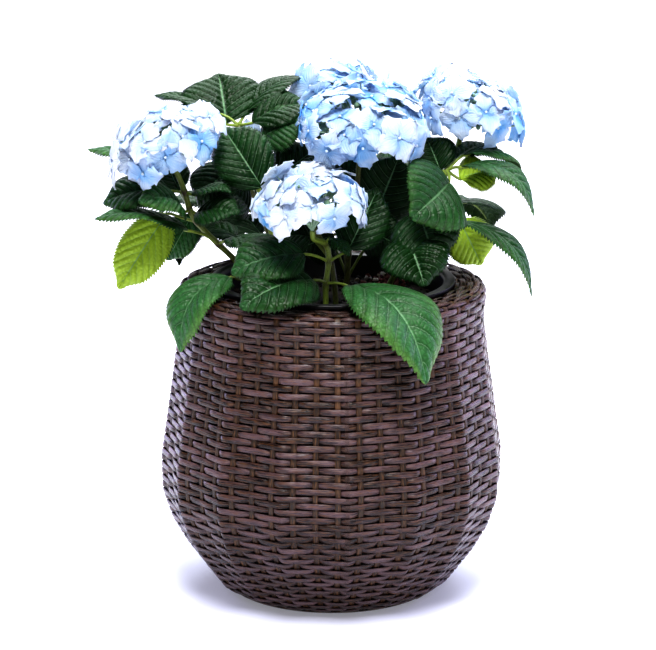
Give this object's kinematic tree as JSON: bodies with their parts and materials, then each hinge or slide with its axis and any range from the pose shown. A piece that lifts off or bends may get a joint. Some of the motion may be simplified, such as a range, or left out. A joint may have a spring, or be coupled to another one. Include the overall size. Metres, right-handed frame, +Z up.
{
  "type": "potted hydrangea",
  "caption": "Mophead hydrangea with pale blue flower heads over broad toothed leaves, growing in soil in a black plastic liner that hangs in a fluted brown woven planter.",
  "frame": {"origin": "centre of the planter's base, on the floor", "axes": "+Z up along the planter's middle; -Y towards the side that is seen first, with the low front flower head; +X to the right of that view"},
  "size_m": [0.5118, 0.4155, 0.5985],
  "materials": {
    "wicker": "satin woven resin strand",
    "frame_rod": "dark coat",
    "liner": "moulded black",
    "soil": "dark crumbly compost",
    "leaf": "waxy",
    "petal": "soft matte"
  },
  "bodies": {
    "root": {"wicker_planter": "wicker", "planter_frame": "frame_rod", "liner_pot": "liner", "soil": "soil", "stem_front": "leaf", "stem_left": "leaf", "stem_centre": "leaf", "stem_right": "leaf", "stem_back": "leaf", "stem_back_left": "leaf", "stem_shoot_left": "leaf", "stem_shoot_front": "leaf", "flower_head_front": "petal", "flower_head_left": "petal", "flower_head_centre": "petal", "flower_head_right": "petal", "flower_head_back": "petal", "flower_head_back_left": "petal"}
  },
  "joints": []
}
